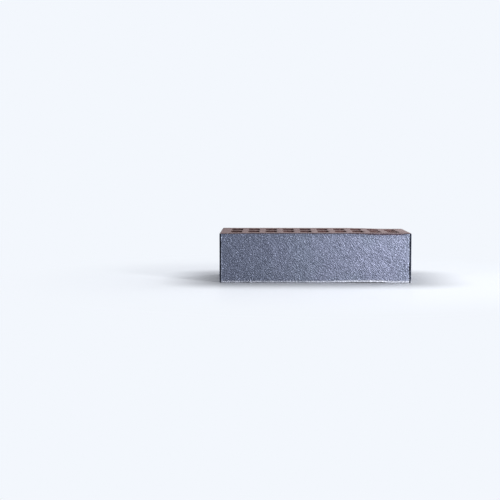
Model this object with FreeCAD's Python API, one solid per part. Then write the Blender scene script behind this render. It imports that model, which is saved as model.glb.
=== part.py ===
import FreeCAD, Part

import math
import os

# A perforated facing brick of the single standard format, lying on its lower bed.
# X runs along the brick, Y across it from the show face at the front to the back, and Z up.
# The origin is the centre of the lower bed, on the surface that the brick rests on.
# Every size is in millimetres.

# Outside of the fired brick
brick_length = 250.0
brick_width = 120.0
brick_height = 65.0
upright_edge_radius = 3.0
bed_edge_radius = 1.2

# Walls and webs of fired clay round the slots
header_wall = 14.5
stretcher_wall = 20.0
cross_web = 9.0
centre_web = 10.0

# The slots, which run straight through from bed to bed
slot_columns = 10
slot_rows = 2
slot_corner_radius = 3.0

# How far each slot cutter stands out of both beds, and how flat a level edge is
cutter_overshoot = 2.0
level_tolerance = 1e-6


def share_between(span, wall, web, count):
    """Size of each of count equal openings between two walls, with a web between neighbours."""
    return (span - 2.0 * wall - (count - 1) * web) / count


slot_width = share_between(brick_length, header_wall, cross_web, slot_columns)
slot_length = share_between(brick_width, stretcher_wall, centre_web, slot_rows)


def rounded_rectangle(size_x, size_y, radius):
    """Closed outline in the XY plane, centred on the origin, with an arc at each corner."""
    half_x = size_x / 2.0
    half_y = size_y / 2.0
    edges = []
    for quarter in range(4):
        start_angle = quarter * math.pi / 2.0
        side_x = 1.0 if quarter in (0, 3) else -1.0
        side_y = 1.0 if quarter in (0, 1) else -1.0
        centre = FreeCAD.Vector(side_x * (half_x - radius), side_y * (half_y - radius), 0.0)
        start, middle, end = (
            centre + FreeCAD.Vector(radius * math.cos(angle), radius * math.sin(angle), 0.0)
            for angle in (start_angle, start_angle + math.pi / 4.0, start_angle + math.pi / 2.0)
        )
        if edges:
            edges.append(Part.LineSegment(edges[-1].EndPoint, start))
        edges.append(Part.Arc(start, middle, end))
    edges.append(Part.LineSegment(edges[-1].EndPoint, edges[0].StartPoint))
    return Part.Wire([edge.toShape() for edge in edges])


def upright_prism(outline, bottom, top):
    """Solid that fills the outline between two levels."""
    face = Part.Face(outline)
    face.translate(FreeCAD.Vector(0.0, 0.0, bottom))
    return face.extrude(FreeCAD.Vector(0.0, 0.0, top - bottom))


def solid_block():
    """The brick before its slots are cut, with rounded uprights and rounded bed edges."""
    outline = rounded_rectangle(brick_length, brick_width, upright_edge_radius)
    block = upright_prism(outline, 0.0, brick_height)
    bed_edges = [edge for edge in block.Edges if edge.BoundBox.ZLength < level_tolerance]
    return block.makeFillet(bed_edge_radius, bed_edges)


def slot_centres():
    """Middle of each slot, row by row from the show face and from left to right."""
    pitch_x = slot_width + cross_web
    pitch_y = slot_length + centre_web
    for row in range(slot_rows):
        for column in range(slot_columns):
            x = (column - (slot_columns - 1) / 2.0) * pitch_x
            y = (row - (slot_rows - 1) / 2.0) * pitch_y
            yield FreeCAD.Vector(x, y, 0.0)


def slot_cutters():
    """One cutter for each slot, standing out of both beds."""
    outline = rounded_rectangle(slot_width, slot_length, slot_corner_radius)
    cutter = upright_prism(outline, -cutter_overshoot, brick_height + cutter_overshoot)
    cutters = []
    for centre in slot_centres():
        moved = cutter.copy()
        moved.translate(centre)
        cutters.append(moved)
    return Part.makeCompound(cutters)


def facing_brick():
    """The fired brick: one solid with its slots cut from bed to bed."""
    return solid_block().cut(slot_cutters())


def main():
    os.makedirs("parts", exist_ok=True)
    brick = facing_brick()
    brick.exportStep("parts/facing_brick.step")
    print(f"slots {slot_width:.2f} x {slot_length:.2f} mm, solid {brick.Volume / 1000.0:.1f} cm3")


main()
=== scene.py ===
import math

import bmesh
import bpy
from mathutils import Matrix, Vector, noise
from mathutils.geometry import delaunay_2d_cdt


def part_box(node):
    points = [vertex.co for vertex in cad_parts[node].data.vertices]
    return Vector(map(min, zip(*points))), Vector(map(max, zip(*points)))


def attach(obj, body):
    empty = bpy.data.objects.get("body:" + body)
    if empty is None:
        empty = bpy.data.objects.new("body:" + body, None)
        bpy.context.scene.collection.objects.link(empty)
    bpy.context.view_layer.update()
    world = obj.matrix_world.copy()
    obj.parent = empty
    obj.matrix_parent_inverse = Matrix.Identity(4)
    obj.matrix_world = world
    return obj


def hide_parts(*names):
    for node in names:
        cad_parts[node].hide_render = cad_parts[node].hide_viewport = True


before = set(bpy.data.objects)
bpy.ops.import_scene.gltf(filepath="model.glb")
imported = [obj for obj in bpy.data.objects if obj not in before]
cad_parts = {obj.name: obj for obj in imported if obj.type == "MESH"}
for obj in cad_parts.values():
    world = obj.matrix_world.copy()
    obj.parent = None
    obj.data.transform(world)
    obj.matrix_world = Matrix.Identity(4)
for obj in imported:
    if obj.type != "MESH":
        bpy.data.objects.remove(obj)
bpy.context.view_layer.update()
brickLow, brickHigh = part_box("facing_brick")
brickLength, brickWidth, brickHeight = brickHigh - brickLow
mm = 0.001
print("frame loaded, brick is %.0f x %.0f x %.0f mm" % tuple((brickHigh - brickLow) / mm))


# Camera

viewpoint = {
    "pictureSide": 500,      # pixels
    "faceLeft": 219.1,       # pixels, left end of the show face
    "faceRight": 412.05,     # pixels, right end of the show face
    "faceTop": 232.9,        # pixels, upper edge of the show face
    "vanishX": 273.0,        # pixels, where the edges that run away from the camera would meet
    "vanishY": 156.5,
    "distance": 1.60,        # metres from the show face
    "sensor": 36.0,          # millimetres
}


def makeCamera(v):
    pixelsPerMetre = (v["faceRight"] - v["faceLeft"]) / brickLength
    focal = pixelsPerMetre * v["distance"]      # in pixels
    half = v["pictureSide"] / 2
    pitch = math.atan((half - v["vanishY"]) / focal)
    yaw = math.atan((v["vanishX"] - half) / focal * math.cos(pitch))
    camera = bpy.data.objects.new("camera", bpy.data.cameras.new("camera"))
    camera.data.sensor_width = v["sensor"]
    camera.data.lens = v["sensor"] * focal / v["pictureSide"]
    camera.location = (
        brickLow.x + (v["vanishX"] - v["faceLeft"]) / pixelsPerMetre,
        brickLow.y - v["distance"],
        brickHigh.z + (v["faceTop"] - v["vanishY"]) / pixelsPerMetre,
    )
    camera.rotation_euler = (math.pi / 2 - pitch, 0, yaw)
    bpy.context.scene.collection.objects.link(camera)
    bpy.context.scene.camera = camera
    turned = (camera.data.lens, math.degrees(pitch), math.degrees(yaw))
    print("camera: lens %.1f mm, pitch %.2f, yaw %.2f degrees" % turned)


makeCamera(viewpoint)


# Shape of the fired brick

brickShape = {
    # Slots and rounded edges
    "slotColumns": 10,
    "slotRows": 2,
    "slotWidth": 14 * mm,
    "slotLength": 35 * mm,
    "slotCorner": 3 * mm,
    "crossWeb": 9 * mm,
    "centreWeb": 10 * mm,
    "uprightRadius": 3 * mm,
    "arrisInset": 1.1 * mm,      # how far a bed edge rounds in from the side
    "topRoll": 1.8 * mm,         # how far down the side the upper bed edge rolls over
    "bottomRoll": 0.7 * mm,
    "leastRound": 0.7,           # along an edge the three above vary between these shares of them
    "mostRound": 1.3,
    "roundSize": 12 * mm,
    "mouthRound": 0.55 * mm,     # how far the wire rounds a slot's rim
    "mouthDepth": 1.6 * mm,
    "burr": 0.8 * mm,            # how far a burr leans into a slot
    "burrSize": 3.5 * mm,
    "burrNoise": (0.35, 0.7),
    "burrSide": (0.3, 0.9),      # how far a slot's wall has to lie toward the front to have burrs
    "slotWaver": 0.25 * mm,      # how uneven a slot's walls are
    "slotWaverSize": 6 * mm,

    # Warp and wear; a pair gives where it starts and is full, or starts to end and is gone, from the middle
    "rightDroop": 1.1 * mm,      # the upper bed drops toward its right end
    "rightDroopAlong": (45 * mm, 105 * mm),
    "rightDroopAcross": (-60 * mm, 50 * mm),
    "frontDroop": 0.3,           # the front edge's share of that
    "leftDroop": 0.45 * mm,      # it drops a little at the left end of the show face too
    "leftDroopAlong": (75 * mm, 115 * mm),      # from the middle toward the left end
    "leftDroopFades": (-60 * mm, 40 * mm),
    "footLift": 0.75 * mm,       # the foot of the show face lifts on the right
    "footLiftStarts": (10 * mm, 55 * mm),
    "footLiftEnds": (85 * mm, 97 * mm),
    "footLiftFades": (-60 * mm, -20 * mm),
    "arrisWear": 0.7,            # how much further the front edge rolls over where it is worn
    "wearStarts": (30 * mm, 90 * mm),
    "wearEnds": (108 * mm, 123 * mm),
    "wearSide": (0.5, 0.9),      # how far an edge has to face the front to be worn

    # Where the coat ends: round the upright edges at the back, by how far a side faces the back, and
    # at a bed by the edge's lean, from 0 upright to 1 level
    "coatBack": (0.1, 0.8),
    "coatEnds": (0.96, 1.0),
    "coatEndsWorn": (0.66, 0.9),
    "rimStarts": (0.35, 0.8),
    "rimStartsWorn": (0.0, 0.35),

    # The dark line at each upright edge, partly coat run thin and partly painted shade, and the painted
    # highlight beside it
    "cornerLineLeft": 0.05 * mm,      # how far the dark line runs onto the show face
    "cornerLineRight": 0.38 * mm,
    "cornerLineSide": (-0.95 * mm, 0.35 * mm),      # stretch over which it fades, from where it ends
    "cornerLineTurn": (0.5, 0.95),    # 0 faces the front and 1 an end
    "cornerShineSide": (0.2 * mm, 1.0 * mm),
    "cornerShineTurn": (0.02, 0.2),

    # Relief, which is cut into the brick and never stands out of it
    "peelSize": 2.3 * mm,        # grain of the coat
    "peelDepth": 0.22 * mm,
    "fineSize": 1.3 * mm,
    "fineShare": 0.3,
    "swellSize": 70 * mm,        # slow bow of the sides
    "swellDepth": 0.2 * mm,
    "dieSize": 3.0 * mm,         # upright lines on the bare side
    "dieDepth": 0.24 * mm,
    "dragSize": 2.6 * mm,        # lines that the wire drew across the beds
    "dragDepth": 0.24 * mm,
    "stretch": 14,               # how many times longer a drawn line is than wide
    "bedSwell": 0.1 * mm,
    "bedSwellSize": 45 * mm,
    "tearDepth": 0.5 * mm,       # clay that the wire tore out
    "tearSize": 5.0 * mm,
    "tearNoise": (0.66, 0.86),
    "tearPatchSize": 30 * mm,
    "tearPatchNoise": (0.5, 0.7),
    "stoodFlat": 0.4,            # the lower bed's share, because the brick stood on it while wet

    # Spacing of the points
    "showStep": 0.9 * mm,
    "endStep": 1.15 * mm,
    "backStep": 2.0 * mm,
    "cornerSteps": 8,            # faces round each upright edge
    "wallRows": 68,              # rows of faces up the sides
    "arrisRows": 6,              # rows round each bed edge
    "bedStepX": 1.2 * mm,
    "bedStepY": 2.4 * mm,
    "bedGap": 0.8 * mm,          # clear strip beside the edges
    "slotStep": 2.0 * mm,
    "slotCornerSteps": 4,
    "slotRowsDown": 9,
    "mouthRows": (0.0, 0.2, 0.5, 1.0),      # shares of the mouth's depth
}

coatFinish, backFinish, bedFinish, slotFinish = range(4)      # places in the brick's list of materials


def fade(low, high, value):      # 0 up to low, 1 from high on, smooth between
    t = min(1.0, max(0.0, (value - low) / (high - low)))
    return t * t * (3 - 2 * t)


def between(first, second, share):      # limits that lie a share of the way from one pair to another
    return [start + (end - start) * share for start, end in zip(first, second)]


def wave(p, size, seed):      # smooth noise from 0 to 1
    return 0.5 + 0.5 * noise.noise(p / size + Vector((seed, 1.7 * seed, -seed)))


def drawnWave(p, size, stretch, axis, seed):      # the same, stretched along one axis: 1 is y and 2 is z
    q = p / size
    q[axis] /= stretch
    return 0.5 + 0.5 * noise.noise(q + Vector((seed, -seed, 0.3 * seed)))


def coatDepth(p, b):
    coarse, fine = wave(p, b["peelSize"], seed=11), wave(p, b["fineSize"], seed=23)
    grain = (1 - b["fineShare"]) * coarse + b["fineShare"] * fine
    return b["peelDepth"] * grain + b["swellDepth"] * wave(p, b["swellSize"], seed=5)


def dieDepth(p, b):
    drawn = b["dieDepth"] * drawnWave(p, b["dieSize"], b["stretch"], axis=2, seed=31)
    return drawn + b["swellDepth"] * wave(p, b["swellSize"], seed=5)


def bedDepth(p, b):
    tear = fade(*b["tearNoise"], wave(p, b["tearSize"], seed=47))
    tear *= fade(*b["tearPatchNoise"], wave(p, b["tearPatchSize"], seed=53))
    drawn = b["dragDepth"] * drawnWave(p, b["dragSize"], b["stretch"], axis=1, seed=41)
    depth = drawn + b["bedSwell"] * wave(p, b["bedSwellSize"], seed=43) + b["tearDepth"] * tear
    return depth if p.z > brickHeight / 2 else b["stoodFlat"] * depth


def roundedOutline(halfX, halfY, radius, steps, cornerSteps):
    # Points and outward normals, anticlockwise from the front's left end; one step for each side in turn
    outline = []
    signs = ((1, -1), (1, 1), (-1, 1), (-1, -1))
    corners = [Vector((sx * (halfX - radius), sy * (halfY - radius))) for sx, sy in signs]
    for side, step in enumerate(steps):
        turn = (side - 1) * math.pi / 2
        facing = Vector((math.cos(turn), math.sin(turn)))
        start, end = corners[side - 1], corners[side]
        count = max(1, round((end - start).length / step))
        for i in range(count):
            outline.append((start.lerp(end, i / count) + radius * facing, facing))
        for i in range(cornerSteps):
            angle = turn + i / cornerSteps * math.pi / 2
            facing = Vector((math.cos(angle), math.sin(angle)))
            outline.append((end + radius * facing, facing))
    return outline


def outlineDistance(x, y, halfX, halfY, radius):      # below zero inside a rounded rectangle
    qx, qy = abs(x) - halfX + radius, abs(y) - halfY + radius
    return math.hypot(max(qx, 0), max(qy, 0)) + min(max(qx, qy), 0) - radius


def slotCentres(b):
    pitchX, pitchY = b["slotWidth"] + b["crossWeb"], b["slotLength"] + b["centreWeb"]
    return [
        Vector(((column - (b["slotColumns"] - 1) / 2) * pitchX, (row - (b["slotRows"] - 1) / 2) * pitchY))
        for row in range(b["slotRows"])
        for column in range(b["slotColumns"])
    ]


def coatShare(facing, b):      # 1 on the coated sides, 0 on the bare back
    return 1 - fade(*b["coatBack"], facing.y)


def bedLevels(x, y, b):      # heights of the lower and the upper bed, which warped in the kiln
    lift = b["footLift"] * fade(*b["footLiftStarts"], x) * (1 - fade(*b["footLiftEnds"], x))
    lift *= 1 - fade(*b["footLiftFades"], y)
    across = b["frontDroop"] + (1 - b["frontDroop"]) * fade(*b["rightDroopAcross"], y)
    droop = b["rightDroop"] * fade(*b["rightDroopAlong"], x) * across
    droop += b["leftDroop"] * fade(*b["leftDroopAlong"], -x) * (1 - fade(*b["leftDroopFades"], y))
    return lift, brickHeight - droop


def frontWear(place, facing, b):      # 1 where the front edge of the upper bed is worn most
    along = fade(*b["wearStarts"], place.x) * (1 - fade(*b["wearEnds"], place.x))
    return along * fade(*b["wearSide"], -facing.y)


def sideRows(b):      # rows up a side: which part of its profile, and how far along that part
    rows = [("bottom", i / b["arrisRows"]) for i in range(b["arrisRows"], 0, -1)]
    rows += [("side", i / b["wallRows"]) for i in range(b["wallRows"] + 1)]
    rows += [("top", i / b["arrisRows"]) for i in range(1, b["arrisRows"] + 1)]
    return rows


def profilePoint(place, facing, part, t, wear, b):
    # A point of a side before its relief, and how far it leans: -1 faces down, 0 outward and 1 up
    edge = Vector((place.x, place.y, 0 if part == "bottom" else brickHeight))
    roll = b["leastRound"] + (b["mostRound"] - b["leastRound"]) * wave(edge, b["roundSize"], seed=61)
    bottom, top = bedLevels(place.x, place.y, b)
    low = bottom + b["bottomRoll"] * roll
    high = top - b["topRoll"] * roll * (1 + b["arrisWear"] * wear)
    angle = 0 if part == "side" else t * (math.pi / 2)
    lean = -math.sin(angle) if part == "bottom" else math.sin(angle)
    heights = {
        "bottom": low + (low - bottom) * lean,
        "side": low + (high - low) * t,
        "top": high + (top - high) * lean,
    }
    inset = b["arrisInset"] * roll * (1 - math.cos(angle))
    return Vector((place.x - facing.x * inset, place.y - facing.y * inset, heights[part])), lean


def markFinish(v, marks, place, facing, lean, wear, b):      # what the coat's material reads at a point
    lineLength = b["cornerLineRight"] if place.x > 0 else b["cornerLineLeft"]
    besideLine = brickLength / 2 - b["uprightRadius"] - abs(place.x) - lineLength
    turn = abs(facing.x)
    coatEnds = between(b["coatEnds"], b["coatEndsWorn"], wear)
    rimStarts = between(b["rimStarts"], b["rimStartsWorn"], wear)
    v[marks["coatCover"]] = coatShare(facing, b) * (1 - fade(*coatEnds, lean))
    v[marks["bedEdge"]] = fade(*rimStarts, lean)
    # dark line at an upright edge, partly thin coat and partly painted shade
    line = 1 - fade(*b["cornerLineSide"], besideLine)
    v[marks["uprightThinCoatAndShade"]] = line * (1 - fade(*b["cornerLineTurn"], turn))
    # painted highlight beside the upright edge
    shine = 1 - fade(*b["cornerShineSide"], besideLine)
    v[marks["cornerShine"]] = shine * (1 - fade(*b["cornerShineTurn"], turn))


def sideRings(mesh, marks, b):
    # The sides from the lower bed's edge to the upper bed's edge; returns the rings of vertices
    steps = (b["showStep"], b["endStep"], b["backStep"], b["endStep"])
    outline = roundedOutline(brickLength / 2, brickWidth / 2, b["uprightRadius"], steps, b["cornerSteps"])
    rings = []
    for part, t in sideRows(b):
        ring = []
        for place, facing in outline:
            wear = frontWear(place, facing, b)
            p, lean = profilePoint(place, facing, part, t, wear, b)
            level = math.sqrt(1 - lean * lean)
            normal = Vector((facing.x * level, facing.y * level, lean))
            share = coatShare(facing, b)
            side = share * coatDepth(p, b) + (1 - share) * dieDepth(p, b)
            depth = level * level * side + lean * lean * bedDepth(p, b)
            v = mesh.verts.new(p - normal * depth)
            markFinish(v, marks, place, facing, abs(lean), wear if part == "top" else 0, b)
            bottom, top = bedLevels(place.x, place.y, b)
            v[marks["aboveFoot"]] = p.z - bottom
            v[marks["belowTop"]] = top - p.z
            ring.append(v)
        rings.append(ring)
    return rings


def slotRings(mesh, centre, b):
    # One slot's wall from the lower bed to the upper bed; returns the rings of vertices
    halfX, halfY, steps = b["slotWidth"] / 2, b["slotLength"] / 2, (b["slotStep"],) * 4
    outline = roundedOutline(halfX, halfY, b["slotCorner"], steps, b["slotCornerSteps"])
    rows = [("bottom", share) for share in b["mouthRows"]]
    rows += [("side", i / b["slotRowsDown"]) for i in range(1, b["slotRowsDown"])]
    rows += [("top", share) for share in reversed(b["mouthRows"])]
    rings = []
    for part, t in rows:
        ring = []
        for place, facing in outline:
            bottom, top = bedLevels(centre.x + place.x, centre.y + place.y, b)
            low, high = bottom + b["mouthDepth"], top - b["mouthDepth"]
            heights = {
                "bottom": bottom + t * b["mouthDepth"],
                "side": low + t * (high - low),
                "top": top - t * b["mouthDepth"],
            }
            at = Vector((centre.x + place.x, centre.y + place.y, heights[part]))
            rim = Vector((at.x, at.y, 0 if part == "bottom" else 1))
            ragged = fade(*b["burrNoise"], wave(rim, b["burrSize"], seed=71))
            burr = ragged * fade(*b["burrSide"], -facing.y)
            reach = 0 if part == "side" else (1 - t) ** 2
            offset = reach * ((1 - burr) * b["mouthRound"] - burr * b["burr"])
            waver = drawnWave(at, b["slotWaverSize"], b["stretch"], axis=2, seed=83)
            offset += b["slotWaver"] * (waver - 0.5)
            p = Vector((at.x + facing.x * offset, at.y + facing.y * offset, heights[part]))
            if part != "side" and t == 0:
                p.z += bedDepth(p, b) * (1 if part == "bottom" else -1)
            ring.append(mesh.verts.new(p))
        rings.append(ring)
    return rings


def joinRings(mesh, rings, finishAt, inward=False):
    for lower, upper in zip(rings, rings[1:]):
        for i in range(len(lower)):
            j = (i + 1) % len(lower)
            corners = (lower[i], lower[j], upper[j], upper[i])
            face = mesh.faces.new(reversed(corners) if inward else corners)
            face.material_index = finishAt(lower[i])


def insideLoop(point, loop):
    inside = False
    for start, end in zip(loop, loop[1:] + loop[:1]):
        if (start.y > point.y) != (end.y > point.y):
            if point.x < (end.x - start.x) * (point.y - start.y) / (end.y - start.y) + start.x:
                inside = not inside
    return inside


def bedRoom(x, y, centres, b):      # from a point of a bed to the nearest rounded edge
    outer = outlineDistance(x, y, brickLength / 2, brickWidth / 2, b["uprightRadius"])
    slot = min(centres, key=lambda centre: abs(centre.x - x) + abs(centre.y - y))
    halfX, halfY = b["slotWidth"] / 2, b["slotLength"] / 2
    inner = outlineDistance(x - slot.x, y - slot.y, halfX, halfY, b["slotCorner"])
    return min(-outer - b["arrisInset"] * b["mostRound"], inner - b["mouthRound"])


def fillBed(mesh, outer, slots, up, b):
    # Triangles between the brick's edge and the slots, on points drawn out across it as the wire went
    loops = [outer] + slots
    verts, owner, edges = [], [], []
    for number, loop in enumerate(loops):
        first = len(verts)
        verts += loop
        owner += [number] * len(loop)
        edges += [(first + i, first + (i + 1) % len(loop)) for i in range(len(loop))]
    centres = slotCentres(b)
    columns, rows = int(brickLength / b["bedStepX"]), int(brickWidth / b["bedStepY"])
    for i in range(1, columns):
        for j in range(1, rows):
            x, y = brickLow.x + i * brickLength / columns, brickLow.y + j * brickWidth / rows
            if bedRoom(x, y, centres, b) > b["bedGap"]:
                p = Vector((x, y, bedLevels(x, y, b)[1 if up else 0]))
                p.z += bedDepth(p, b) * (-1 if up else 1)
                verts.append(mesh.verts.new(p))
                owner.append(-1)
    flat = [v.co.xy for v in verts]
    outline = [list(range(len(outer)))]
    insideOnly, samePoint = 1, 1e-7      # the kind of result, and how near two points merge
    _, _, faces, origins, _, _ = delaunay_2d_cdt(flat, edges, outline, insideOnly, samePoint)
    for face in faces:
        corners = [origins[i][0] for i in face]
        loop = {owner[i] for i in corners}
        if len(loop) == 1 and min(loop) > 0:      # all three on one slot's rim, so it may lie in the slot
            middle = sum((flat[i] for i in corners), Vector((0, 0))) / 3
            if insideLoop(middle, [v.co.xy for v in loops[min(loop)]]):
                continue
        made = mesh.faces.new([verts[i] for i in (corners if up else reversed(corners))])
        made.material_index = bedFinish


def makeBrick(b, materials):
    mesh = bmesh.new()
    names = ("coatCover", "bedEdge", "uprightThinCoatAndShade", "cornerShine", "aboveFoot", "belowTop")
    marks = {name: mesh.verts.layers.float.new(name) for name in names}
    sides = sideRings(mesh, marks, b)
    backFrom = brickHigh.y - b["uprightRadius"]
    joinRings(mesh, sides, lambda v: coatFinish if v.co.y < backFrom else backFinish)
    slots = [slotRings(mesh, centre, b) for centre in slotCentres(b)]
    for slot in slots:
        joinRings(mesh, slot, lambda v: slotFinish, inward=True)
    fillBed(mesh, sides[0], [slot[0] for slot in slots], False, b)
    fillBed(mesh, sides[-1], [slot[-1] for slot in slots], True, b)
    for face in mesh.faces:
        face.smooth = True
    data = bpy.data.meshes.new("fired_brick")
    mesh.to_mesh(data)
    openEdges = sum(1 for edge in mesh.edges if len(edge.link_faces) != 2)
    triangles = sum(len(face.verts) - 2 for face in mesh.faces)
    mesh.free()
    for material in materials:
        data.materials.append(material)
    brick = bpy.data.objects.new("fired_brick", data)
    bpy.context.scene.collection.objects.link(brick)
    print("brick: %d triangles, %d open edges" % (triangles, openEdges))
    return brick


# Shader building blocks

def tint(red, green, blue):      # screen colour, 0 to 255, as the linear colour that Blender's sockets take
    channels = [c / 255 for c in (red, green, blue)]
    return tuple(c / 12.92 if c <= 0.04045 else ((c + 0.055) / 1.055) ** 2.4 for c in channels) + (1,)


def newGroup(name, inputs, outputs):
    group = bpy.data.node_groups.new(name, "ShaderNodeTree")
    for label, kind, value in inputs:
        socket = group.interface.new_socket(label, in_out="INPUT", socket_type="NodeSocket" + kind)
        if value is not None:
            socket.default_value = value
    for label, kind in outputs:
        group.interface.new_socket(label, in_out="OUTPUT", socket_type="NodeSocket" + kind)
    return group, group.nodes.new("NodeGroupInput"), group.nodes.new("NodeGroupOutput")


def feed(tree, socket, value):      # links another node's socket, or sets a plain value
    if isinstance(value, bpy.types.NodeSocket):
        tree.links.new(value, socket)
    elif value is not None:
        socket.default_value = value


def addNoise(tree, vector, size, detail=2, roughness=0.5):
    node = tree.nodes.new("ShaderNodeTexNoise")
    node.inputs["Scale"].default_value = 1 / size
    node.inputs["Detail"].default_value = detail
    node.inputs["Roughness"].default_value = roughness
    tree.links.new(vector, node.inputs["Vector"])
    return node.outputs["Fac"]


def addRange(tree, value, low, high, toLow=0.0, toHigh=1.0):
    node = tree.nodes.new("ShaderNodeMapRange")
    node.interpolation_type = "SMOOTHSTEP"
    for name, number in (("From Min", low), ("From Max", high), ("To Min", toLow), ("To Max", toHigh)):
        feed(tree, node.inputs[name], number)
    tree.links.new(value, node.inputs["Value"])
    return node.outputs["Result"]


def addMix(tree, factor, first, second, blend="MIX"):
    node = tree.nodes.new("ShaderNodeMix")
    node.data_type = "RGBA"
    node.blend_type = blend
    for index, value in (("Factor", factor), (6, first), (7, second)):
        feed(tree, node.inputs[index], value)
    return node.outputs[2]


def addBlend(tree, factor, first, second):      # the same for plain numbers
    node = tree.nodes.new("ShaderNodeMix")
    for index, value in ((0, factor), (2, first), (3, second)):
        feed(tree, node.inputs[index], value)
    return node.outputs[0]


def addMath(tree, operation, first, second=None):
    node = tree.nodes.new("ShaderNodeMath")
    node.operation = operation
    feed(tree, node.inputs[0], first)
    feed(tree, node.inputs[1], second)
    return node.outputs[0]


def addProduct(tree, first, second):
    return addMath(tree, "MULTIPLY", first, second)


def addVector(tree, operation, first, second=None):
    node = tree.nodes.new("ShaderNodeVectorMath")
    node.operation = operation
    tree.links.new(first, node.inputs[0])
    feed(tree, node.inputs[1], second)
    return node.outputs["Value" if operation == "LENGTH" else "Vector"]


def addBump(tree, height, distance, below=None):
    node = tree.nodes.new("ShaderNodeBump")
    node.inputs["Distance"].default_value = distance
    tree.links.new(height, node.inputs["Height"])
    feed(tree, node.inputs["Normal"], below)
    return node.outputs["Normal"]


def addAttribute(tree, name):
    node = tree.nodes.new("ShaderNodeAttribute")
    node.attribute_name = name
    return node.outputs["Fac"]


def placeGroup(tree, group, **values):
    node = tree.nodes.new("ShaderNodeGroup")
    node.node_tree = group
    for name, value in values.items():
        feed(tree, node.inputs[name.replace("_", " ")], value)
    return node


def newMaterial(name):
    material = bpy.data.materials.new(name)
    material.use_nodes = True
    tree = material.node_tree
    shader = tree.nodes["Principled BSDF"]
    place = tree.nodes.new("ShaderNodeTexCoord").outputs["Object"]
    return material, tree, shader, place


# Effects that several finishes share

clayBody = {
    # Sizes of the patterns
    "patch": 32 * mm,            # changes of firing colour
    "mottle": 6 * mm,
    "sand": 0.9 * mm,            # pale sand
    "grit": 2.1 * mm,            # dark specks
    "wideLine": 1.6 * mm,        # lines that the die or the wire drew
    "fineLine": 0.6 * mm,
    "brokenLine": 9 * mm,        # spots where they break off

    # Where in its noise each pattern starts to show and is full
    "patchNoise": (0.35, 0.7),
    "mottleNoise": (0.4, 0.72),
    "sandNoise": (0.56, 0.68),
    "gritNoise": (0.66, 0.74),
    "lineNoise": (0.42, 0.6),
    "brokenNoise": (0.35, 0.65),
    "roughNoise": (0.3, 0.7),

    # Shares in the height, and the surface
    "sandHeight": 0.6,
    "gritHeight": -0.4,
    "wideHeight": 0.65,
    "fineHeight": 0.35,
    "roughness": (0.78, 0.95),
    "shine": 0.2,
    "leftEndShade": 0.65,           # how far the left end is painted darker, toward the burnt colour, as shade
}


def makeLeftEndRamp():      # a ramp along the brick, Most at its left end and 0 at its right; it paints shade toward the left end and also sets the grain and the foot line
    group, given, out = newGroup(
        "leftEndRamp",
        [("Vector", "Vector", None), ("Most", "Float", 1.0)],
        [("TowardLeft", "Float")],
    )
    along = group.nodes.new("ShaderNodeSeparateXYZ")
    group.links.new(given.outputs["Vector"], along.inputs[0])
    fired = addRange(group, along.outputs["X"], brickLow.x, brickHigh.x, given.outputs["Most"], 0.0)
    group.links.new(fired, out.inputs["TowardLeft"])
    return group


def makeFiredClay(c):      # the bare body: patches of firing colour, fine sand and dark specks
    group, given, out = newGroup(
        "firedClay",
        [
            ("Vector", "Vector", None),
            ("Body Color", "Color", tint(152, 134, 134)),
            ("Burnt Color", "Color", tint(118, 100, 98)),
            ("Sand Color", "Color", tint(178, 164, 160)),
            ("Patchiness", "Float", 0.6),
            ("Specks", "Float", 0.5),
        ],
        [("Color", "Color"), ("Roughness", "Float"), ("Height", "Float")],
    )
    place, specks = given.outputs["Vector"], given.outputs["Specks"]
    patches = addNoise(group, place, c["patch"], detail=3, roughness=0.6)
    mottle = addNoise(group, place, c["mottle"], detail=3, roughness=0.6)
    sand = addNoise(group, place, c["sand"], roughness=0.6)
    grit = addNoise(group, place, c["grit"], detail=1)
    patches, mottle = addRange(group, patches, *c["patchNoise"]), addRange(group, mottle, *c["mottleNoise"])
    shade = addProduct(group, addMath(group, "MAXIMUM", patches, mottle), given.outputs["Patchiness"])
    color = addMix(group, shade, given.outputs["Body Color"], given.outputs["Burnt Color"])
    pale = addProduct(group, addRange(group, sand, *c["sandNoise"]), specks)
    color = addMix(group, pale, color, given.outputs["Sand Color"])
    dark = addProduct(group, addRange(group, grit, *c["gritNoise"]), specks)
    color = addMix(group, dark, color, given.outputs["Burnt Color"], "MULTIPLY")
    roughness = addRange(group, sand, *c["roughNoise"], *c["roughness"])
    sandHeight = addProduct(group, sand, c["sandHeight"])
    gritHeight = addProduct(group, grit, c["gritHeight"])
    group.links.new(color, out.inputs["Color"])
    group.links.new(roughness, out.inputs["Roughness"])
    group.links.new(addMath(group, "ADD", sandHeight, gritHeight), out.inputs["Height"])
    return group


def makeDrawnLines(c):      # lines that a wire or a die drew in the wet clay
    group, given, out = newGroup(
        "drawnLines",
        [("Vector", "Vector", None), ("Shrink", "Vector", (1, 0.07, 1)), ("Raggedness", "Float", 0.5)],
        [("Height", "Float"), ("Mask", "Float")],
    )
    place = addVector(group, "MULTIPLY", given.outputs["Vector"], given.outputs["Shrink"])
    wide = addNoise(group, place, c["wideLine"], detail=3, roughness=0.6)
    fine = addNoise(group, place, c["fineLine"], roughness=0.6)
    broken = addNoise(group, given.outputs["Vector"], c["brokenLine"], detail=3, roughness=0.6)
    wide, fine = addProduct(group, wide, c["wideHeight"]), addProduct(group, fine, c["fineHeight"])
    lines = addMath(group, "ADD", wide, fine)
    ragged = addProduct(group, addRange(group, broken, *c["brokenNoise"]), given.outputs["Raggedness"])
    height = addProduct(group, lines, addMath(group, "SUBTRACT", 1.0, ragged))
    group.links.new(height, out.inputs["Height"])
    group.links.new(addRange(group, lines, *c["lineNoise"]), out.inputs["Mask"])
    return group


leftEndRamp = makeLeftEndRamp()
firedClay = makeFiredClay(clayBody)
drawnLines = makeDrawnLines(clayBody)


# The metallic coat

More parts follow.
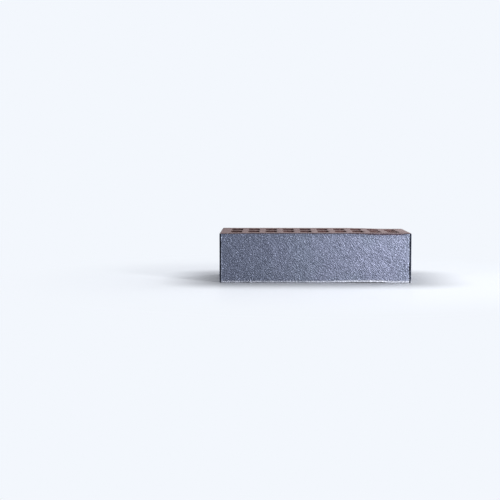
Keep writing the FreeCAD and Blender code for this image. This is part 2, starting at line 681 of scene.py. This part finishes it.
coatLook = {
    "steel": tint(118, 126, 143),
    "lilac": tint(121, 125, 146),
    "driftSize": 60 * mm,           # slow drift from one to the other
    "slate": tint(78, 83, 99),
    "leftEndShade": 0.95,              # how far the left end is painted darker, toward slate, as shade
    "cloudSize": 14 * mm,
    "cloudShare": 0.45,
    "flakeGlint": tint(168, 176, 198),   # bright metallic specks, painted brighter than the coat as glints
    "flakeSize": 1.3 * mm,
    "flakeShare": 0.2,
    "metallic": 0.85,
    "roughness": 0.48,
    "roughSpread": (-0.05, 0.08),   # how much that varies from pimple to pimple

    # Grain
    "grainSize": 1.1 * mm,
    "grainDistance": 1.15 * mm,
    "slant": 52,                    # degrees below level
    "slantStretch": 2.3,
    "rightEndGrain": 0.56,         # the grain's share at the right end
    "grainDrift": 0.25,             # how much the grain's height varies from place to place
    "hollowShadeShare": 0.75,            # how dark the grain's hollows are painted, as shade
    "pimpleSize": 0.8 * mm,
    "pimpleDistance": 0.2 * mm,

    # Where in its noise each pattern starts to show and is full
    "lilacNoise": (0.35, 0.65),
    "cloudNoise": (0.5, 0.75),
    "flakeNoise": (0.52, 0.72),
    "hollowNoise": (0.3, 0.6),
    "grainNoise": (0.35, 0.65),
    "roughNoise": (0.3, 0.7),
    "shineNoise": (0.3, 0.6),
    "cornerNoise": (0.3, 0.55),
    "lowLineNoise": (0.8, 1.15),

    # Edges
    "chipSize": 3 * mm,             # how coarse their unevenness is
    "fray": 0.7,                    # and how strong
    "looseGrain": 0.5,              # how far the grain frays the end of the coat
    "bareEdge": (0.15, 0.4),        # cover at which the clay is bare, and at which it is all coated
    "metalEdge": (0.3, 0.7),
    "clay": tint(150, 133, 134),
    "clayBurntAndShaded": 0.7,               # how far the bare clay goes to the rim's colour at a bed, partly burnt clay and partly painted shade
    "rim": tint(66, 58, 68),        # dark edge where the coat ends at a bed: partly burnt clay, partly painted shade along the bed edges
    "rimEdge": (0.3, 0.9),
    "corner": tint(20, 22, 30),     # coat that ran thin over the upright edges, darkened further as painted shade of the rounded edge
    "cornerEdge": (0.2, 0.8),
    "cornerFray": 1.5,
    "cornerLeast": 0.8,             # its share where it shows least
    "cornerShine": 0.65,            # painted highlight, a paler line beside each upright edge
    "topShade": 6 * mm,             # how far down the coat stays darker
    "topShadeFull": 1 * mm,
    "topShadeShare": 0.5,

    # Pale line along the foot: partly where the coat gathered, partly a painted highlight of the rolled
    # foot edge
    "footCoatAndHighlight": tint(208, 211, 222),
    "lowLineFoot": 0.2 * mm,        # height from which it shows
    "lowLine": 1.8 * mm,            # height up to which it is full
    "lowLineTop": 3.6 * mm,         # and at which it is gone
    "lowLineShare": 0.95,
    "lowLineLeast": 0.65,           # its share where the coat is thinnest
    "lowLineLeft": 0.45,            # and toward the left end
    "lowLineLeftRamp": 0.7,            # how far up the left-end ramp that has to be
    "lowLineSmooth": 0.5,           # how far it smooths the grain
}


def coatNoises(tree, place, look):      # the patterns that the coat's colours, edges and grain share
    slant = tree.nodes.new("ShaderNodeMapping")      # the grain leans down to the right
    slant.vector_type = "TEXTURE"
    slant.inputs["Rotation"].default_value = (0, math.radians(look["slant"]), 0)
    slant.inputs["Scale"].default_value = (look["slantStretch"], 1, 1)
    tree.links.new(place, slant.inputs["Vector"])
    slanted = slant.outputs["Vector"]
    cloud = addNoise(tree, place, look["cloudSize"], detail=3, roughness=0.6)
    chips = addNoise(tree, place, look["chipSize"], roughness=0.6)
    return {
        "drift": addNoise(tree, place, look["driftSize"]),
        "cloud": cloud,
        "chips": chips,
        "thickness": addMath(tree, "ADD", cloud, chips),
        "peel": addNoise(tree, slanted, look["grainSize"], detail=1, roughness=0.55),
        "pimple": addNoise(tree, slanted, look["pimpleSize"], roughness=0.6),
        "flakes": addNoise(tree, place, look["flakeSize"], detail=0),
        "fired": placeGroup(tree, leftEndRamp, Vector=place, Most=1.0).outputs["TowardLeft"],
    }


def coatBody(tree, look, n):      # colour of the coat away from its edges, with painted shade toward the left end, in the grain's hollows and under the upper edge, and flakes painted bright as glints
    coat = addMix(tree, addRange(tree, n["drift"], *look["lilacNoise"]), look["steel"], look["lilac"])
    # painted shade: the coat darker toward the left end
    coat = addMix(tree, addProduct(tree, n["fired"], look["leftEndShade"]), coat, look["slate"])
    clouds = addRange(tree, n["cloud"], *look["cloudNoise"], 0.0, look["cloudShare"])
    # painted shade in the grain's hollows
    hollowShade = addRange(tree, n["peel"], *look["hollowNoise"], look["hollowShadeShare"], 0.0)
    # metal flakes painted bright as glints
    flakes = addRange(tree, n["flakes"], *look["flakeNoise"], 0.0, look["flakeShare"])
    # painted shade under the upper edge
    below = addAttribute(tree, "belowTop")
    upper = addRange(tree, below, look["topShade"], look["topShadeFull"], 0.0, look["topShadeShare"])
    for share, name in ((clouds, "slate"), (hollowShade, "slate"), (flakes, "flakeGlint"), (upper, "slate")):
        coat = addMix(tree, share, coat, look[name])
    return coat


def footLine(tree, look, n):      # how strong the pale line along the foot is, partly gathered coat and partly painted highlight
    height = addAttribute(tree, "aboveFoot")
    line = addRange(tree, height, look["lowLineTop"], look["lowLine"])
    line = addProduct(tree, line, addRange(tree, height, look["lowLineFoot"], 2 * look["lowLineFoot"]))
    shares = look["lowLineLeast"], look["lowLineShare"]
    return addProduct(tree, line, addRange(tree, n["thickness"], *look["lowLineNoise"], *shares))


def coatGrain(tree, look, n, lower):      # the coat's normals
    drift = 1 - look["grainDrift"], 1 + look["grainDrift"]
    coarse = addProduct(tree, n["peel"], addRange(tree, n["fired"], 0.0, 1.0, look["rightEndGrain"], 1.0))
    coarse = addProduct(tree, coarse, addRange(tree, n["cloud"], *look["grainNoise"], *drift))
    coarse = addProduct(tree, coarse, addRange(tree, lower, 0.0, 1.0, 1.0, 1 - look["lowLineSmooth"]))
    return addBump(tree, n["pimple"], look["pimpleDistance"], addBump(tree, coarse, look["grainDistance"]))


def coatedSides(look):
    material, tree, shader, place = newMaterial("metallic_coat")
    n = coatNoises(tree, place, look)
    coat = coatBody(tree, look, n)

    # Painted highlights beside the upright edges, and the pale line along the foot, partly gathered coat
    # and partly painted highlight
    shine = addProduct(tree, addAttribute(tree, "cornerShine"), look["cornerShine"])
    shine = addProduct(tree, shine, addRange(tree, n["chips"], *look["shineNoise"]))
    coat = addMix(tree, shine, coat, look["flakeGlint"])
    lower = footLine(tree, look, n)
    towardLeftShare = addRange(tree, n["fired"], 0.0, look["lowLineLeftRamp"], 1.0, look["lowLineLeft"])
    coat = addMix(tree, addProduct(tree, lower, towardLeftShare), coat, look["footCoatAndHighlight"])

    # Dark line over the upright edges: partly coat that ran thin, partly painted shade of the rounded edge
    uneven = addProduct(tree, addMath(tree, "SUBTRACT", n["thickness"], 1.0), look["fray"])
    frayed = addProduct(tree, uneven, look["cornerFray"])
    ragged = addMath(tree, "ADD", addAttribute(tree, "uprightThinCoatAndShade"), frayed)
    solid = addRange(tree, n["chips"], *look["cornerNoise"], look["cornerLeast"], 1.0)
    thinCoatAndShade = addProduct(tree, addRange(tree, ragged, *look["cornerEdge"]), solid)
    coat = addMix(tree, thinCoatAndShade, coat, look["corner"])

    # Dark rim at the bed edges, partly burnt clay and partly painted shade, and bare clay past it
    bedEdge = addAttribute(tree, "bedEdge")
    rim = addRange(tree, addMath(tree, "ADD", bedEdge, uneven), *look["rimEdge"])
    clay = placeGroup(tree, firedClay, Vector=place, Body_Color=look["clay"])
    burnt = addProduct(tree, bedEdge, look["clayBurntAndShaded"])
    edgeClay = addMix(tree, burnt, clay.outputs["Color"], look["rim"])
    loose = addProduct(tree, addMath(tree, "SUBTRACT", n["peel"], 0.5), look["looseGrain"])
    cover = addMath(tree, "ADD", addAttribute(tree, "coatCover"), loose)
    bare = addRange(tree, cover, *look["bareEdge"], 1.0, 0.0)
    color = addMix(tree, bare, addMix(tree, rim, coat, look["rim"]), edgeClay)
    tree.links.new(color, shader.inputs["Base Color"])

    # Metal, gloss and grain
    metal = addRange(tree, thinCoatAndShade, 0.0, 1.0, look["metallic"], 0.0)
    metal = addProduct(tree, addRange(tree, cover, *look["metalEdge"]), metal)
    tree.links.new(metal, shader.inputs["Metallic"])
    roughness = [look["roughness"] + more for more in look["roughSpread"]]
    gloss = addRange(tree, n["pimple"], *look["roughNoise"], *roughness)
    dull = addBlend(tree, addMath(tree, "MAXIMUM", bare, thinCoatAndShade), gloss, clay.outputs["Roughness"])
    tree.links.new(dull, shader.inputs["Roughness"])
    tree.links.new(coatGrain(tree, look, n, lower), shader.inputs["Normal"])
    shader.inputs["Specular IOR Level"].default_value = 0.0      # all its gloss is the metal's
    return material


# Bare clay on the back, the beds and in the slots

clayLooks = {
    "die_drawn_clay": {
        "body": tint(152, 133, 129),
        "burnt": tint(116, 96, 91),
        "pale": tint(178, 162, 157),
        "specks": 0.4,
        "shrink": (1, 1, 0.05),      # the lines run upright
        "lines": 0.35 * mm,          # how deep the lines look
        "lineShade": 0.4,
        "sand": 0.14 * mm,           # and the sand
        "ragged": 0.4,
    },
    "wire_cut_clay": {
        "body": tint(145, 126, 127),
        "burnt": tint(112, 93, 93),
        "pale": tint(182, 168, 165),
        "specks": 0.5,
        "shrink": (1, 0.06, 1),      # the lines run across the bed
        "lines": 0.4 * mm,
        "lineShade": 0.4,
        "sand": 0.2 * mm,
        "ragged": 0.6,
    },
    # darker and redder than the bed: partly clay less oxidised inside the slots, partly painted shade; its
    # near-black burnt colour darkens the lines and the left end
    "slot_clay_with_painted_shade": {
        "body": tint(108, 80, 79),
        "burnt": tint(24, 15, 16),
        "pale": tint(122, 98, 96),
        "specks": 0.2,
        "shrink": (1, 1, 0.05),
        "lines": 0.3 * mm,
        "lineShade": 0.5,
        "sand": 0.08 * mm,
        "ragged": 0.3,
    },
}


def bareClay(name, look):
    material, tree, shader, place = newMaterial(name)
    clay = placeGroup(
        tree, firedClay, Vector=place, Body_Color=look["body"], Burnt_Color=look["burnt"],
        Sand_Color=look["pale"], Specks=look["specks"],
    )
    lines = placeGroup(tree, drawnLines, Vector=place, Shrink=look["shrink"], Raggedness=look["ragged"])
    fired = placeGroup(tree, leftEndRamp, Vector=place, Most=clayBody["leftEndShade"]).outputs["TowardLeft"]
    # drawn lines darker, and painted shade darker toward the left end
    shade = addMath(tree, "MAXIMUM", addProduct(tree, lines.outputs["Mask"], look["lineShade"]), fired)
    color = addMix(tree, shade, clay.outputs["Color"], look["burnt"])
    tree.links.new(color, shader.inputs["Base Color"])
    tree.links.new(clay.outputs["Roughness"], shader.inputs["Roughness"])
    drawn = addBump(tree, lines.outputs["Height"], look["lines"])
    tree.links.new(addBump(tree, clay.outputs["Height"], look["sand"], drawn), shader.inputs["Normal"])
    shader.inputs["Specular IOR Level"].default_value = clayBody["shine"]
    return material


finishes = [coatedSides(coatLook)] + [bareClay(name, look) for name, look in clayLooks.items()]
print("finishes: %s" % ", ".join(material.name for material in finishes))
brick = makeBrick(brickShape, finishes)
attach(brick, "root")
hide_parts("facing_brick")


# Floor, light and surroundings

studio = {
    "floorRadius": 3.0,
    "floorColor": tint(172, 175, 181),
    "floorRoughness": 0.42,
    "floorIor": 1.25,
    "floorGlow": 0.445,     # what the camera and mirrors see on top of the lit floor
    "glowInPaintedShadow": 0.1,      # the glow's share at the brick's foot: a painted shadow round the foot, which also lets its real shadow show
    "paintedShadowReach": 0.09,      # metres from the brick's foot to the full glow, the reach of that painted shadow
    "fadeStart": 0.15,      # metres from the brick's middle where the floor starts to turn to backdrop
    "fadeEnd": 0.42,
    "horizon": tint(243, 247, 253),
    "zenith": tint(96, 98, 106),
    "bandTop": 8,           # degrees above the horizon where the pale band starts to darken
    "bandEnd": 18,
}

lamps = {
    "above": {"place": (0.0, 0.75, 1.3), "size": 1.3, "power": 11.5, "color": (1, 1, 1)},
    "rightFront": {"place": (1.0, -1.15, 0.50), "size": 0.25, "power": 29.5, "color": (1, 0.99, 0.97)},
    "leftFront": {"place": (-0.9, -1.1, 0.45), "size": 0.25, "power": 6.0, "color": (0.97, 0.99, 1)},
    "rightBack": {"place": (1.2, 1.0, 0.9), "size": 0.7, "power": 17.0, "color": (0.98, 0.99, 1)},
}


def paleFloor(s):
    material, tree, shader, place = newMaterial("pale_floor")
    shader.inputs["Base Color"].default_value = s["floorColor"]
    shader.inputs["Roughness"].default_value = s["floorRoughness"]
    shader.inputs["IOR"].default_value = s["floorIor"]
    shader.inputs["Emission Color"].default_value = s["horizon"]
    rays = tree.nodes.new("ShaderNodeLightPath").outputs
    seen = addMath(tree, "MAXIMUM", rays["Is Camera Ray"], rays["Is Glossy Ray"])
    seen = addMath(tree, "MAXIMUM", seen, rays["Is Transmission Ray"])
    beside = addVector(tree, "ABSOLUTE", place)
    beside = addVector(tree, "SUBTRACT", beside, (brickLength / 2, brickWidth / 2, 0))
    beside = addVector(tree, "LENGTH", addVector(tree, "MAXIMUM", beside, (0, 0, 0)))
    # painted shadow: less glow near the brick's foot
    glow = addRange(tree, beside, 0.0, s["paintedShadowReach"], s["glowInPaintedShadow"] * s["floorGlow"], s["floorGlow"])
    tree.links.new(addProduct(tree, seen, glow), shader.inputs["Emission Strength"])
    backdrop = tree.nodes.new("ShaderNodeEmission")
    backdrop.inputs["Color"].default_value = s["horizon"]
    far = addRange(tree, addVector(tree, "LENGTH", place), s["fadeStart"], s["fadeEnd"])
    mix = tree.nodes.new("ShaderNodeMixShader")
    tree.links.new(addProduct(tree, seen, far), mix.inputs[0])
    tree.links.new(shader.outputs[0], mix.inputs[1])
    tree.links.new(backdrop.outputs[0], mix.inputs[2])
    tree.links.new(mix.outputs[0], tree.nodes["Material Output"].inputs["Surface"])
    return material


def makeFloor(s):
    mesh = bmesh.new()
    bmesh.ops.create_circle(mesh, cap_ends=True, segments=96, radius=s["floorRadius"])
    data = bpy.data.meshes.new("floor")
    mesh.to_mesh(data)
    mesh.free()
    data.materials.append(paleFloor(s))
    floor = bpy.data.objects.new("floor", data)
    bpy.context.scene.collection.objects.link(floor)


def makeLamps(table):
    target = Vector((0, 0, brickHeight / 2))
    for name, lamp in table.items():
        data = bpy.data.lights.new(name, "AREA")
        data.size = lamp["size"]
        data.energy = lamp["power"]
        data.color = lamp["color"]
        light = bpy.data.objects.new(name, data)
        light.location = lamp["place"]
        light.rotation_euler = (target - Vector(lamp["place"])).to_track_quat("-Z", "Y").to_euler()
        light.visible_camera = False
        bpy.context.scene.collection.objects.link(light)


def makeWorld(s):
    world = bpy.data.worlds.new("studio")
    world.use_nodes = True
    tree = world.node_tree
    split = tree.nodes.new("ShaderNodeSeparateXYZ")
    tree.links.new(tree.nodes.new("ShaderNodeTexCoord").outputs["Generated"], split.inputs[0])
    low, high = (math.sin(math.radians(s[name])) for name in ("bandTop", "bandEnd"))
    color = addMix(tree, addRange(tree, split.outputs["Z"], low, high), s["horizon"], s["zenith"])
    tree.links.new(color, tree.nodes["Background"].inputs["Color"])
    bpy.context.scene.world = world


makeFloor(studio)
makeLamps(lamps)
makeWorld(studio)
bpy.context.scene.view_settings.view_transform = "Standard"
print("studio: floor, %d lamps and backdrop" % len(lamps))
